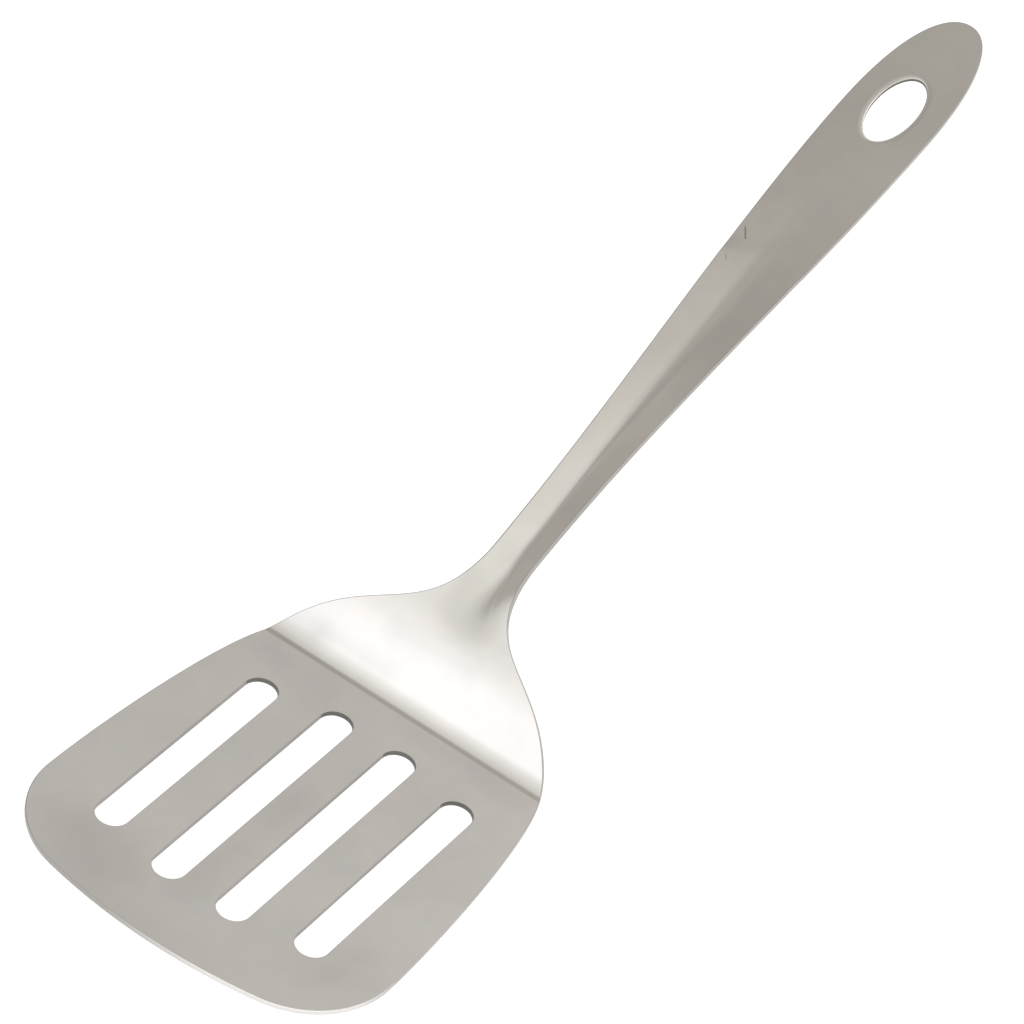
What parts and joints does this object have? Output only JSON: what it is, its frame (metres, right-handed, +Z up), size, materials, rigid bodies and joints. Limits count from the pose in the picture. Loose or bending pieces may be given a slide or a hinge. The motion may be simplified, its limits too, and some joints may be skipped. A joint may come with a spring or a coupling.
{
  "type": "slotted spatula",
  "caption": "One-piece pressed steel kitchen turner with a flat slotted blade, a bent shoulder, a grooved handle and a flat end with an oval hanging hole.",
  "frame": {"origin": "on the blade's underside, in the middle of the slots", "axes": "+Y along the spatula from the blade towards the handle, +Z up out of the blade's upper face, +X across the blade"},
  "size_m": [0.0896, 0.3057, 0.0878],
  "materials": {
    "steel": "polished"
  },
  "bodies": {
    "root": {"pressed_spatula": "steel"}
  },
  "joints": []
}
